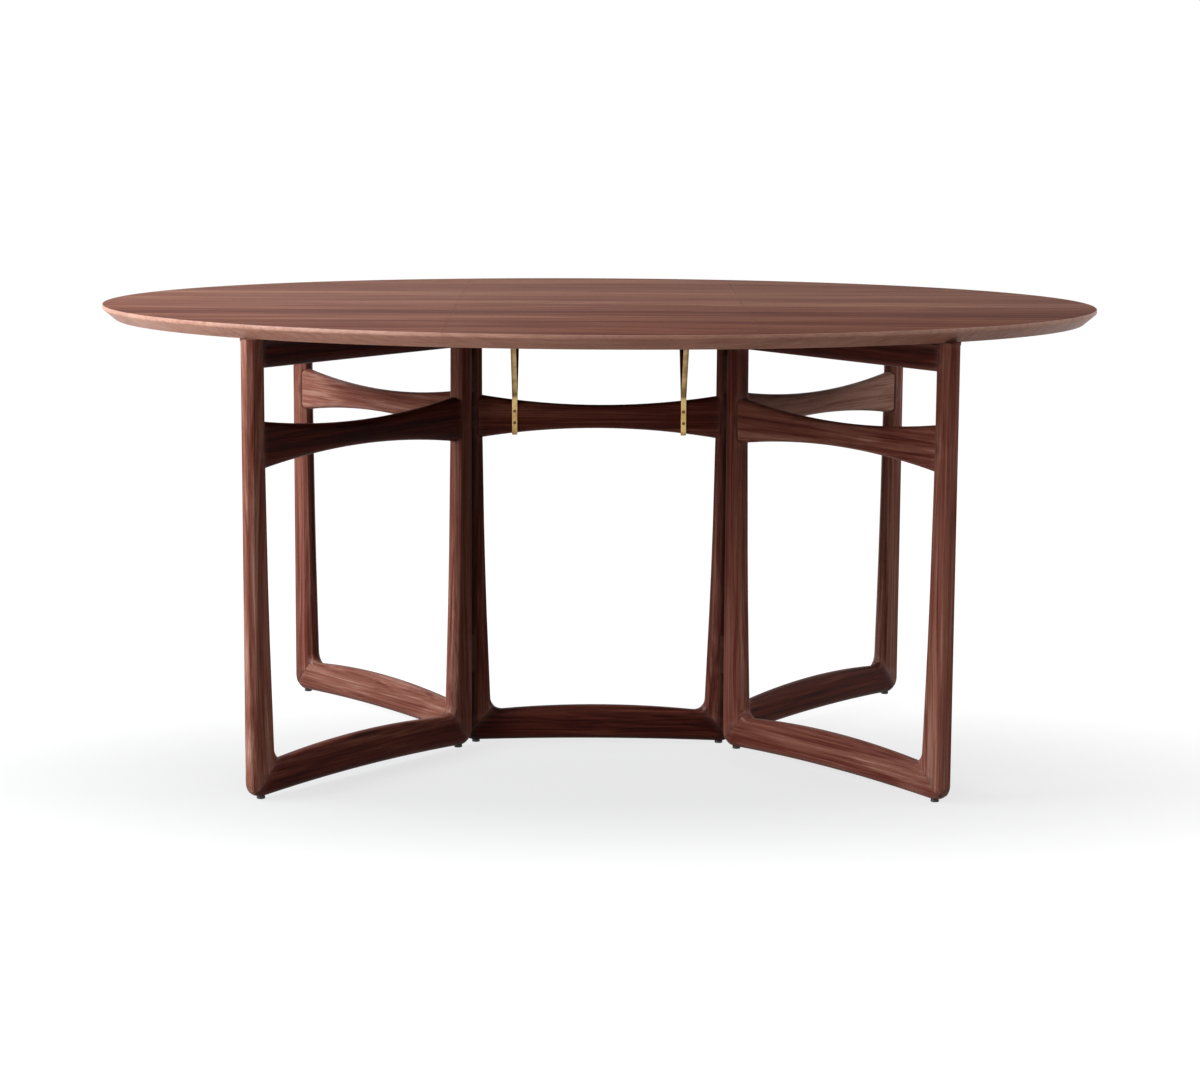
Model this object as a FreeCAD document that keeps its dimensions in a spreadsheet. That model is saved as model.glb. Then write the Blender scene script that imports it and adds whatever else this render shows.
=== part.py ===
import FreeCAD, Part
import math
import os
import re
import Sketcher

# Drop-leaf dining table with an oval top, a fixed centre frame and four swinging gates.
# Millimetres, +Z up, origin on the floor under the middle of the top.
# The long axis of the oval lies along X, and the seams between the boards run along Y.
# Every frame is drawn in its own plane: X along the frame from its first leg's outer edge,
# Z up from the floor, and Y across the thickness with the middle of the wood at zero.

V = FreeCAD.Vector
UP = V(0, 0, 1)
ALONG_X = V(1, 0, 0)
ALONG_Y = V(0, 1, 0)
DOC = FreeCAD.newDocument("drop_leaf_table")

DRIVING_SIZES = [
    # Top
    ("top_length", 1600), ("top_width", 1160), ("table_height", 725), ("top_thickness", 23),
    ("rim_edge", 6), ("rim_undercut", 20),
    ("centre_width", 460), ("seam_gap", 0.4),
    # Legs, the same profile in every frame
    ("leg_foot", 54), ("leg_head", 37), ("leg_thickness", 25), ("leg_head_gap", 0.3),
    ("corner_radius", 25), ("window_radius", 18), ("leg_bevel_share", 0.27),
    # Rails
    ("rail_thickness", 22), ("rail_bevel_share", 0.27), ("rail_housing", 8),
    ("top_rail_height", 40), ("top_rail_drop", 4.2), ("top_rail_softening", 3),
    ("mid_rail_drop", 184), ("mid_rail_waist", 38),
    ("tenon_thickness", 8), ("tenon_height", 24), ("tenon_inset", 14), ("tenon_level", 32),
    # Centre frame
    ("centre_span", 401), ("centre_waist_curve", 1180),
    ("centre_crown", 63), ("centre_fall", 7.5), ("centre_arch", 3.5),
    # Gates
    ("gate_span", 463), ("gate_waist_curve", 1480),
    ("gate_crown", 66.5), ("gate_fall", 9.7), ("gate_arch", 6.5),
    ("gate_angle", 38), ("gate_inset", 7.8), ("gate_lead", 1.3),
    ("pivot_out", 217), ("pivot_back", 16),
    # Gate hinges
    ("gate_hinge_low", 150), ("gate_hinge_drop", 113), ("gate_hinge_length", 60),
    ("gate_plate_sink", 0.5), ("gate_plate_fixed_sink", 1),
    # Leaf hinges
    ("leaf_hinge_place", 330), ("leaf_hinge_length", 70),
    ("leaf_plate_width", 35), ("barrel_room", 0.6),
    # What both kinds of hinge share
    ("plate_thickness", 2), ("knuckle_radius", 3), ("plate_relief", 0.4), ("knuckle_gap", 0.3),
    ("knuckle_share", 0.5),
    # Brass braces
    ("brace_place", 137), ("brace_width", 8.5), ("brace_thickness", 2.5), ("brace_fit", 0.15),
    ("brace_bend_rise", 32), ("brace_reach", 172), ("brace_foot", 24),
    ("brace_bend_radius", 12),
    # Glides
    ("glide_height", 4), ("glide_radius", 7),
    # Stops under the leaves
    ("stop_width", 12), ("stop_length", 16), ("stop_height", 6), ("stop_gap", 0.3),
    ("stop_inset", 25),
    # One overrun for every cut that leaves its piece
    ("cut_overrun", 40),
]

FRAME_KINDS = ("centre", "gate")
# A glide's round is drawn as this many flats
GLIDE_FACETS = 12


def frame_formulas(kind):
    """Centres, radii and tangent points of one frame's outline, from the driving sizes."""
    one = kind + "_"
    arch_far = f"({one}half - corner_radius)"
    window_far = f"({one}half - {one}window_x)"
    rise = f"({one}window_z - {kind}_crown)"
    return [
        (one + "half", f"({kind}_span + leg_foot) / 2"),
        (one + "window_z", f"{kind}_crown - {kind}_fall + window_radius"),
        (one + "window_x", "leg_head + taper_radius - sqrt((taper_radius - window_radius)^2"
                           f" - (taper_top - {one}window_z)^2)"),
        (one + "mitre_length", f"sqrt(({one}window_x - corner_radius)^2"
                               f" + ({one}window_z - corner_level)^2)"),
        (one + "mitre_x", f"({one}window_x - corner_radius) / {one}mitre_length"),
        (one + "mitre_z", f"({one}window_z - corner_level) / {one}mitre_length"),
        (one + "outer_x", f"corner_radius * (1 - {one}mitre_x)"),
        (one + "outer_z", f"corner_level - corner_radius * {one}mitre_z"),
        (one + "inner_x", f"{one}window_x - window_radius * {one}mitre_x"),
        (one + "inner_z", f"{one}window_z - window_radius * {one}mitre_z"),
        (one + "taper_x", f"leg_head + taper_radius + ({one}window_x - leg_head - taper_radius)"
                          " * taper_radius / (taper_radius - window_radius)"),
        (one + "taper_z", f"taper_top + ({one}window_z - taper_top)"
                          " * taper_radius / (taper_radius - window_radius)"),
        (one + "crown_radius", f"({window_far}^2 + {rise}^2 - window_radius^2)"
                               f" / (2 * (window_radius - {rise}))"),
        (one + "crown_centre", f"{kind}_crown - {one}crown_radius"),
        (one + "top_x", f"{one}half - {window_far}"
                        f" * {one}crown_radius / ({one}crown_radius + window_radius)"),
        (one + "top_z", f"{one}crown_centre + ({one}window_z - {one}crown_centre)"
                        f" * {one}crown_radius / ({one}crown_radius + window_radius)"),
        (one + "arch_radius", f"({arch_far}^2 + {kind}_arch^2) / (2 * {kind}_arch) - corner_radius"),
        (one + "arch_centre", f"glide_height + {kind}_arch - {one}arch_radius"),
        (one + "low_x", f"corner_radius + {arch_far}"
                        f" * corner_radius / ({one}arch_radius + corner_radius)"),
        (one + "low_z", f"corner_level + ({one}arch_centre - corner_level)"
                        f" * corner_radius / ({one}arch_radius + corner_radius)"),
        (one + "waist_end", f"mid_rail_waist / 2 + {one}waist_curve"
                            f" - sqrt({one}waist_curve^2 - ({one}half - housing_end)^2)"),
    ]


WORKED_SIZES = [
    ("underside", "table_height - top_thickness"),
    ("centre_leg_top", "underside"),
    ("gate_leg_top", "underside - leg_head_gap"),
    ("centre_rail_top", "underside"),
    ("gate_rail_top", "gate_leg_top - top_rail_drop"),
    ("taper_top", "gate_rail_top - top_rail_height"),
    ("mid_rail_level", "table_height - mid_rail_drop"),
    ("gate_hinge_high", "table_height - gate_hinge_drop"),
    ("brace_bend_level", "mid_rail_level + brace_bend_rise"),
    ("leg_widening", "leg_foot - leg_head"),
    ("taper_radius", "((taper_top - glide_height)^2 + leg_widening^2) / (2 * leg_widening)"),
    ("corner_level", "glide_height + corner_radius"),
    ("housing_end", "leg_head - rail_housing"),
    ("leg_bevel", "leg_thickness * leg_bevel_share"),
    ("rail_bevel", "rail_thickness * rail_bevel_share"),
    ("seam_place", "centre_width / 2"),
    ("barrel_radius", "knuckle_radius + barrel_room"),
    ("plate_start", "knuckle_radius + plate_relief"),
    ("gate_plate_width", "2 * gate_inset"),
    ("foot_middle", "leg_foot / 2"),
    ("brace_edge", "brace_place + brace_width / 2"),
    ("brace_middle", "rail_thickness / 2 + brace_fit + brace_thickness / 2"),
    ("brace_low", "mid_rail_level - mid_rail_waist / 2 - centre_waist_curve"
                  " + sqrt(centre_waist_curve^2 - brace_edge^2) - brace_fit - brace_thickness / 2"),
    ("brace_top", "underside - brace_thickness / 2"),
    ("brace_hug_radius", "rail_bevel + brace_fit + brace_thickness / 2"),
    ("brace_slope", "atan((brace_top - brace_bend_level) / (brace_reach - brace_middle))"),
    ("brace_bend_shift", "brace_thickness / 2 * cos(brace_slope) / (1 + sin(brace_slope))"),
    ("brace_knee_shift", "brace_thickness / 2 * sin(brace_slope) / (1 + cos(brace_slope))"),
]
for frame_kind in FRAME_KINDS:
    WORKED_SIZES += frame_formulas(frame_kind)

SHEET_OF = {}


def fill_sheet(name, rows):
    """Puts one alias per row on a spreadsheet, as a plain number or as a formula."""
    sheet = DOC.addObject("Spreadsheet::Sheet", name)
    for row, (alias, content) in enumerate(rows, start=1):
        text = "=" + on_sheet(content) if isinstance(content, str) else str(content)
        sheet.set(f"A{row}", alias.replace("_", " "))
        sheet.set(f"B{row}", text)
        sheet.setAlias(f"B{row}", alias)
        SHEET_OF[alias] = name
    DOC.recompute()
    return sheet


def on_sheet(text):
    """The same expression with each alias written as Sheet.alias."""
    return re.sub(r"[a-z]+(?:_[a-z]+)+|underside", lambda found: sheet_name(found.group(0)), text)


def sheet_name(alias):
    return SHEET_OF.get(alias, "Worked") + "." + alias


SIZES = fill_sheet("Sizes", DRIVING_SIZES)
WORKED = fill_sheet("Worked", WORKED_SIZES)


def number(text):
    """The value of an expression in sheet aliases."""
    return float(WORKED.evalExpression(on_sheet(text)))


def bind(thing, **properties):
    """Binds properties of an object to expressions in sheet aliases."""
    for name, text in properties.items():
        thing.setExpression(name, on_sheet(text))


def add(kind, name, **settings):
    thing = DOC.addObject(kind, name)
    thing.Label = name
    for key, setting in settings.items():
        setattr(thing, key, setting)
    return thing


def turn(axis, degrees):
    return FreeCAD.Rotation(axis, degrees)


def at(x, y, z, rotation=None):
    return FreeCAD.Placement(V(x, y, z), rotation or FreeCAD.Rotation())


def placed(source, name, *placements):
    """One object that holds a copy of the source at each placement."""
    if len(placements) == 1:
        return add("Part::Compound", name, Links=[source], Placement=placements[0])
    copies = [add("Part::Compound", f"{name}_{index}", Links=[source], Placement=placement)
              for index, placement in enumerate(placements, start=1)]
    return add("Part::Compound", name, Links=copies)


def gather(name, pieces):
    return add("Part::Compound", name, Links=pieces)


def cut(name, base, tools):
    tool = tools[0] if len(tools) == 1 else gather(name + "_cutters", tools)
    return add("Part::Cut", name, Base=base, Tool=tool)


def box(name, length, width, height, x, y, z):
    """A block whose sizes and least corner are expressions."""
    block = add("Part::Box", name)
    bind(block, Length=length, Width=width, Height=height)
    corner = FreeCAD.Placement(V(number(x), number(y), number(z)), FreeCAD.Rotation())
    block.Placement = corner
    block.setExpression("Placement.Base.x", on_sheet(x))
    block.setExpression("Placement.Base.y", on_sheet(y))
    block.setExpression("Placement.Base.z", on_sheet(z))
    return block


def rod(name, radius, height, placement):
    bar = add("Part::Cylinder", name, Placement=placement)
    bind(bar, Radius=radius, Height=height)
    return bar


# Sketched outlines

def arc_through(start, end, radius, side):
    """The short arc between two points, bulging to the left (1) or right (-1) of the way."""
    chord = end - start
    half = chord.Length / 2
    sag = radius - math.sqrt(max(radius ** 2 - half ** 2, 0))
    left = V(-chord.y, chord.x, 0).normalize()
    return Part.Arc(start, (start + end) / 2 + left * side * sag, end)


def end_near(sketch, index, point):
    """Which end of a sketched edge, 1 or 2, lies at the point."""
    first = (sketch.getPoint(index, 1) - point).Length
    second = (sketch.getPoint(index, 2) - point).Length
    return 1 if first <= second else 2


def closed_outline(body, name, plane, steps):
    """A fully constrained closed sketch.

    A step is a corner in sheet expressions and the edge that leaves it: None for a line,
    or the radius and the side of an arc.
    """
    sketch = body.newObject("Sketcher::SketchObject", name)
    origin_plane = [item for item in body.Origin.OriginFeatures if item.Role == plane]
    sketch.AttachmentSupport = [(origin_plane[0], "")]
    sketch.MapMode = "FlatFace"
    corners = [V(number(x), number(z), 0) for x, z, edge in steps]
    count = len(steps)
    for index, (x, z, edge) in enumerate(steps):
        start = corners[index]
        end = corners[(index + 1) % count]
        if edge is None:
            sketch.addGeometry(Part.LineSegment(start, end), False)
        else:
            radius, side = edge
            sketch.addGeometry(arc_through(start, end, number(radius), side), False)
    for index, (x, z, edge) in enumerate(steps):
        before = (index - 1) % count
        start_end = end_near(sketch, index, corners[index])
        before_end = end_near(sketch, before, corners[index])
        sketch.addConstraint(Sketcher.Constraint("Coincident", before, before_end, index, start_end))
        for kind, text, value in (("DistanceX", x, corners[index].x), ("DistanceY", z, corners[index].y)):
            rule = sketch.addConstraint(Sketcher.Constraint(kind, -1, 1, index, start_end, value))
            sketch.setExpression(f"Constraints[{rule}]", on_sheet(text))
        if edge is not None:
            radius = number(edge[0])
            rule = sketch.addConstraint(Sketcher.Constraint("Radius", index, radius))
            sketch.setExpression(f"Constraints[{rule}]", on_sheet(edge[0]))
    return sketch


def padded(body, sketch, name, thickness):
    pad = body.newObject("PartDesign::Pad", name)
    pad.Profile = sketch
    pad.Midplane = True
    bind(pad, Length=thickness)
    body.Tip = pad
    DOC.recompute()
    return pad


def bevelled(body, pad, name, size, sketch, edges):
    """Bevels the edges that stand over the numbered edges of the sketch, on both faces."""
    middles = []
    for index in edges:
        shape = sketch.Geometry[index].toShape()
        point = shape.valueAt((shape.FirstParameter + shape.LastParameter) / 2)
        middles.append((point.x, point.y))
    names = []
    for index, edge in enumerate(pad.Shape.Edges, start=1):
        point = edge.valueAt((edge.FirstParameter + edge.LastParameter) / 2)
        on_face = abs(abs(point.y) - pad.Shape.BoundBox.YMax) < edge_tolerance
        over = any(math.dist(middle, (point.x, point.z)) < edge_tolerance for middle in middles)
        if on_face and over:
            names.append(f"Edge{index}")
    bevel = body.newObject("PartDesign::Chamfer", name)
    bevel.Base = (pad, names)
    bind(bevel, Size=size)
    body.Tip = bevel
    DOC.recompute()
    return bevel


edge_tolerance = number("seam_gap") / 100


def new_body(name):
    return add("PartDesign::Body", name)


# The wooden frames

def leg_blank(kind):
    """A leg: straight outside, swelling inside, round at the foot, mitred to the bottom rail."""
    one = kind + "_"
    body = new_body(f"{kind}_leg_blank")
    steps = [
        ("0", one + "leg_top", None),
        ("0", "corner_level", ("corner_radius", -1)),
        (one + "outer_x", one + "outer_z", None),
        (one + "inner_x", one + "inner_z", ("window_radius", 1)),
        (one + "taper_x", one + "taper_z", ("taper_radius", 1)),
        ("leg_head", "taper_top", None),
        ("leg_head", one + "leg_top", None),
    ]
    sketch = closed_outline(body, f"{kind}_leg_outline", "XZ_Plane", steps)
    pad = padded(body, sketch, f"{kind}_leg_pad", "leg_thickness")
    bevelled(body, pad, f"{kind}_leg_bevel", "leg_bevel", sketch, (0, 1, 3, 4, 5))
    return body


def tenon(body, kind, name, middle):
    """A flat tenon through the rail that stands out at both of its ends."""
    far = f"2 * {kind}_half - tenon_inset"
    low = f"{middle} - tenon_height / 2"
    high = f"{middle} + tenon_height / 2"
    near = "tenon_inset"
    steps = [(near, low, None), (far, low, None), (far, high, None), (near, high, None)]
    sketch = closed_outline(body, name + "_outline", "XZ_Plane", steps)
    padded(body, sketch, name, "tenon_thickness")


def bottom_rail_blank(kind):
    """The bottom rail: arched below, crowned above, mitred to both legs."""
    one = kind + "_"
    far = f"2 * {one}half - "
    body = new_body(f"{kind}_bottom_rail_blank")
    steps = [
        (one + "outer_x", one + "outer_z", ("corner_radius", -1)),
        (one + "low_x", one + "low_z", (one + "arch_radius", 1)),
        (far + one + "low_x", one + "low_z", ("corner_radius", -1)),
        (far + one + "outer_x", one + "outer_z", None),
        (far + one + "inner_x", one + "inner_z", ("window_radius", 1)),
        (far + one + "top_x", one + "top_z", (one + "crown_radius", -1)),
        (one + "top_x", one + "top_z", ("window_radius", 1)),
        (one + "inner_x", one + "inner_z", None),
    ]
    sketch = closed_outline(body, f"{kind}_bottom_rail_outline", "XZ_Plane", steps)
    pad = padded(body, sketch, f"{kind}_bottom_rail_pad", "leg_thickness")
    bevelled(body, pad, f"{kind}_bottom_rail_bevel", "leg_bevel", sketch, (0, 1, 2, 4, 5, 6))
    tenon(body, kind, f"{kind}_bottom_rail_tenon", "tenon_level")
    return body


def mid_rail(kind):
    """The middle rail: full at the legs, waisted between them by two long arcs."""
    one = kind + "_"
    far = f"2 * {one}half - housing_end"
    low = f"mid_rail_level - {one}waist_end"
    high = f"mid_rail_level + {one}waist_end"
    body = new_body(f"{kind}_mid_rail_body")
    steps = [
        ("housing_end", low, (one + "waist_curve", 1)),
        (far, low, None),
        (far, high, (one + "waist_curve", 1)),
        ("housing_end", high, None),
    ]
    sketch = closed_outline(body, f"{kind}_mid_rail_outline", "XZ_Plane", steps)
    pad = padded(body, sketch, f"{kind}_mid_rail_pad", "rail_thickness")
    bevelled(body, pad, f"{kind}_mid_rail_bevel", "rail_bevel", sketch, (0, 2))
    tenon(body, kind, f"{kind}_mid_rail_tenon", "mid_rail_level")
    return body


def top_rail(kind):
    """The top rail: a straight board with softened lower edges."""
    far = f"2 * {kind}_half - housing_end"
    high = kind + "_rail_top"
    body = new_body(f"{kind}_top_rail_body")
    steps = [
        ("housing_end", "taper_top", None),
        (far, "taper_top", None),
        (far, high, None),
        ("housing_end", high, None),
    ]
    sketch = closed_outline(body, f"{kind}_top_rail_outline", "XZ_Plane", steps)
    pad = padded(body, sketch, f"{kind}_top_rail_pad", "rail_thickness")
    bevelled(body, pad, f"{kind}_top_rail_softening", "top_rail_softening", sketch, (0,))
    middle = "taper_top + top_rail_height / 2"
    tenon(body, kind, f"{kind}_top_rail_tenon", middle)
    return body


# Hinges

def hinge_half(name, plate, length, low, high):
    """Half a butt hinge about Z: a plate, and a knuckle on a tongue between two levels.

    The plate is its far edge from the pin and its nearer and farther face.
    """
    reach, near, far = plate
    depth = f"({far}) - ({near})"
    level = f"({low}) * ({length}) + knuckle_gap / 2"
    tall = f"(({high}) - ({low})) * ({length}) - knuckle_gap"
    parts = [
        box(name + "_plate", f"({reach}) - plate_start", depth, length,
            "plate_start", near, f"-({length}) / 2"),
        box(name + "_tongue", "plate_start", depth, tall, "0", near, level),
        rod(name + "_knuckle", "knuckle_radius", tall, at(0, 0, number(level))),
    ]
    return add("Part::MultiFuse", name + "_half", Shapes=parts, Refine=True)


def barrel_room(name, length):
    """The room that a hinge's knuckles need in the wood."""
    return box(name, "2 * barrel_radius", "2 * barrel_radius", f"{length} + 2 * barrel_room",
               "-barrel_radius", "-barrel_radius", f"-({length}) / 2 - barrel_room")


LOWER = ("-1 / 2", "knuckle_share - 1 / 2")
UPPER = ("knuckle_share - 1 / 2", "1 / 2")
NO_TURN = FreeCAD.Rotation()

# Half hinges are drawn with the pin at zero and the plate running towards +X.
# A gate's fixed plate faces +Y, away from the centre leg; its swinging plate faces -Y.
# A leaf hinge's plates both face -Y, which is downwards once they are in the boards. Its two
# halves are alike: one is turned end for end, so its knuckle takes the other's free length.
fixed_bed = "leg_thickness / 2 - gate_plate_fixed_sink - pivot_back"
swing_face = "gate_lead + gate_plate_sink"
GATE_FIXED_PLATE = ("gate_plate_width", fixed_bed, fixed_bed + " + plate_thickness")
GATE_SWING_PLATE = ("gate_plate_width", swing_face, swing_face + " + plate_thickness")
LEAF_PLATE = ("leaf_plate_width", "0", "plate_thickness")
gate_fixed_half = hinge_half("gate_fixed", GATE_FIXED_PLATE, "gate_hinge_length", *LOWER)
gate_swing_half = hinge_half("gate_swing", GATE_SWING_PLATE, "gate_hinge_length", *UPPER)
leaf_half = hinge_half("leaf", LEAF_PLATE, "leaf_hinge_length", *LOWER)
gate_barrel_room = barrel_room("gate_barrel_room", "gate_hinge_length")
leaf_barrel_room = barrel_room("leaf_barrel_room", "leaf_hinge_length")
foot_glide = add("Part::Prism", "foot_glide", Polygon=GLIDE_FACETS)
bind(foot_glide, Circumradius="glide_radius", Height="glide_height")

# Where things stand: a side is -1 or 1 along X, and an end is -1 (front) or 1 (rear) along Y
SIDES = {"left": -1, "right": 1}
ENDS = {"front": -1, "rear": 1}
centre_half = number("centre_half")
gate_length = 2 * number("gate_half")
gate_levels = (number("gate_hinge_low"), number("gate_hinge_high"))
centre_leg_place = {
    "left": at(-centre_half, 0, 0),
    "right": at(centre_half, 0, 0, turn(UP, 180)),
}
# The four fixed half hinges of the left centre leg, in the leg's own axes. Each front hinge is
# a rear one turned over, so that a gate and its hinge turn over together.
on_centre_leg = [at(centre_half - number("pivot_out"), end * number("pivot_back"), level,
                    NO_TURN if end > 0 else turn(ALONG_X, 180))
                 for end in ENDS.values() for level in gate_levels]


def gate_place(side, end):
    """Placement of a gate at rest, swung out to support its leaf."""
    heading = 90 - side * end * number("gate_angle") + (0 if end > 0 else 180)
    pivot = at(side * number("pivot_out"), end * number("pivot_back"), 0, turn(UP, heading))
    return pivot * at(number("gate_lead"), side * end * number("gate_inset"), 0)


def on_gate_leg(hand):
    """A gate's two swinging half hinges in the gate's own axes; the hand is side times end."""
    heading = FreeCAD.Rotation(ALONG_X + ALONG_Y, 180) if hand > 0 else turn(UP, -90)
    return [at(-number("gate_lead"), -hand * number("gate_inset"), level, heading)
            for level in gate_levels]


def on_seam(side, running):
    """Two leaf half hinges along a seam, with plates running to the left (-1) or right (1)."""
    upwards = turn(ALONG_X, 90)
    heading = upwards if running > 0 else turn(UP, 180) * upwards
    return [at(side * number("seam_place"), end * number("leaf_hinge_place"),
               number("underside"), heading) for end in ENDS.values()]


NODES = {}


def node(name, source, *placements):
    """One sub-part of the table, labelled with its file's name."""
    NODES[name] = placed(source, name, *placements)
    return NODES[name]


# Frames

for frame_kind in FRAME_KINDS:
    one = frame_kind + "_"
    length = 2 * number(one + "half")
    blank = leg_blank(frame_kind)
    bottom = bottom_rail_blank(frame_kind)
    middle = mid_rail(frame_kind)
    top = top_rail(frame_kind)
    glides = placed(foot_glide, one + "glide_pair", at(number("foot_middle"), 0, 0),
                    at(length - number("foot_middle"), 0, 0))
    housed = cut(one + "leg_housed", blank, [bottom, middle, top])
    if frame_kind == "centre":
        start = centre_leg_place["left"]
        fixed_set = placed(gate_fixed_half, "centre_leg_half_hinges", *on_centre_leg)
        hinged = cut("centre_leg_hinged", housed, [fixed_set])
        for side_name, place in centre_leg_place.items():
            node(f"centre_leg_{side_name}", hinged, place)
            node(f"gate_hinge_fixed_plates_{side_name}", fixed_set, place)
        node("centre_bottom_rail", bottom, start)
        node("centre_mid_rail", middle, start)
        node("centre_top_rail", top, start)
        node("centre_glides", glides, start)
        continue
    hinged = {}
    swing_sets = {}
    for hand in (-1, 1):
        hand_name = "plus" if hand > 0 else "minus"
        swing_sets[hand] = placed(gate_swing_half, f"swing_halves_{hand_name}", *on_gate_leg(hand))
        room = placed(gate_barrel_room, f"gate_barrel_rooms_{hand_name}", *on_gate_leg(hand))
        hinged[hand] = cut(f"gate_leg_hinged_{hand_name}", housed, [swing_sets[hand], room])
    far_end = at(gate_length, 0, 0, turn(UP, 180))
    for end_name, end in ENDS.items():
        for side_name, side in SIDES.items():
            gate = f"gate_{end_name}_{side_name}"
            hand = side * end
            place = gate_place(side, end)
            node(gate + "_inner_leg", hinged[hand], place)
            node(gate + "_outer_leg", housed, place * far_end)
            node(gate + "_bottom_rail", bottom, place)
            node(gate + "_mid_rail", middle, place)
            node(gate + "_top_rail", top, place)
            node(gate + "_glides", glides, place)
            node(gate + "_hinge_plates", swing_sets[hand], place)

# Brass braces: a strap under the centre's middle rail whose arms rise to the top's underside

def corner_edges(shape, corners):
    """Names of the edges across a strap that stand over the given corners of its outline."""
    found = []
    for index, edge in enumerate(shape.Edges, start=1):
        point = edge.valueAt((edge.FirstParameter + edge.LastParameter) / 2)
        if any(math.dist(corner, (point.y, point.z)) < edge_tolerance for corner in corners):
            found.append(f"Edge{index}")
    return found


def brace_body():
    """A bent strip, drawn in the YZ plane and padded across X."""
    half = "brace_thickness / 2"
    right_side = [
        (f"brace_middle + {half}", f"brace_low - {half}"),
        (f"brace_middle + {half}", "brace_bend_level - brace_bend_shift"),
        ("brace_reach + brace_knee_shift", f"brace_top - {half}"),
        ("brace_reach + brace_foot", f"brace_top - {half}"),
        ("brace_reach + brace_foot", f"brace_top + {half}"),
        ("brace_reach - brace_knee_shift", f"brace_top + {half}"),
        (f"brace_middle - {half}", "brace_bend_level + brace_bend_shift"),
        (f"brace_middle - {half}", f"brace_low + {half}"),
    ]
    left_side = [(f"-({across})", level) for across, level in reversed(right_side)]
    corners = right_side + left_side
    body = new_body("brace_body")
    steps = [(across, level, None) for across, level in corners]
    sketch = closed_outline(body, "brace_outline", "YZ_Plane", steps)
    feature = padded(body, sketch, "brace_pad", "brace_width")
    bends = [
        (0, f"brace_hug_radius + {half}"),
        (7, f"brace_hug_radius - {half}"),
        (1, f"brace_bend_radius - {half}"),
        (6, f"brace_bend_radius + {half}"),
    ]
    for index, radius in bends:
        across, level = (number(text) for text in right_side[index])
        names = corner_edges(feature.Shape, [(across, level), (-across, level)])
        bend = body.newObject("PartDesign::Fillet", f"brace_bend_{index}")
        bend.Base = (feature, names)
        bind(bend, Radius=radius)
        body.Tip = bend
        DOC.recompute()
        feature = bend
    return body


brace = brace_body()
for side_name, side in SIDES.items():
    node(f"brace_{side_name}", brace, at(side * number("brace_place"), 0, 0))

# The oval top: flat below, with a slanting undercut and an upright edge

def oval(name, inset, level):
    ring = add("Part::Ellipse", name)
    bind(ring, MajorRadius=f"top_length / 2 - {inset}", MinorRadius=f"top_width / 2 - {inset}")
    ring.Placement = at(0, 0, number(level))
    return ring


ovals = [
    oval("oval_underside", "rim_undercut", "underside"),
    oval("oval_edge_low", "0", "table_height - rim_edge"),
    oval("oval_edge_high", "0", "table_height"),
]
slab = add("Part::Loft", "top_slab", Sections=ovals, Solid=True, Ruled=True)


def board(name, start, width):
    """The part of the oval between two lines across the table."""
    strip = box(name + "_strip", width, "top_width + 2 * cut_overrun",
                "top_thickness + 2 * cut_overrun", start, "-top_width / 2 - cut_overrun",
                "underside - cut_overrun")
    return add("Part::Common", name + "_blank", Base=slab, Tool=strip)


edge_of_centre = "seam_place - seam_gap / 2"
edge_of_leaf = "seam_place + seam_gap / 2"
leaf_strip = f"top_length / 2 + cut_overrun - ({edge_of_leaf})"
boards = {
    "left": board("leaf_left", "-top_length / 2 - cut_overrun", leaf_strip),
    "right": board("leaf_right", edge_of_leaf, leaf_strip),
}
centre_board = board("centre_top", f"-({edge_of_centre})", f"2 * ({edge_of_centre})")

fixed_plate_places = [place for side in SIDES.values() for place in on_seam(side, -side)]
fixed_plates = node("leaf_hinge_fixed_plates", leaf_half, *fixed_plate_places)
barrel_rooms = placed(leaf_barrel_room, "leaf_barrel_rooms", *fixed_plate_places)
node("centre_top", cut("centre_top_cut", centre_board, [fixed_plates, barrel_rooms]), at(0, 0, 0))

stop = add("Part::Box", "leaf_stop")
bind(stop, Length="stop_length", Width="stop_width", Height="stop_height")
stop_start = gate_length - number("stop_inset + stop_length / 2")
stop_level = number("underside - stop_height")
stop_clear = number("leg_thickness / 2 + stop_gap")

for side_name, side in SIDES.items():
    leaf = f"leaf_{side_name}"
    plates = node(leaf + "_hinge_plates", leaf_half, *on_seam(side, side))
    node(leaf, cut(leaf + "_cut", boards[side_name], [plates, barrel_rooms]), at(0, 0, 0))
    stops = []
    for end in ENDS.values():
        open_side = -stop_clear - number("stop_width") if side * end > 0 else stop_clear
        stops.append(gate_place(side, end) * at(stop_start, open_side, stop_level))
    node(leaf + "_stops", stop, *stops)

# Checks and files

DOC.recompute()
for thing in DOC.Objects:
    if "Invalid" in thing.State or "Error" in thing.State:
        raise RuntimeError(f"{thing.Label} failed: {thing.State}")
for name, thing in NODES.items():
    if thing.Shape.isNull() or not thing.Shape.isValid():
        raise RuntimeError(f"{name} has no sound shape")
    if thing.Label != name:
        raise RuntimeError(f"{name} is labelled {thing.Label}")

os.makedirs("parts", exist_ok=True)
for name, thing in NODES.items():
    thing.Shape.exportStep(f"parts/{name}.step")
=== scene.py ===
import math

import bmesh
import bpy
from mathutils import Matrix, Vector


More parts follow.
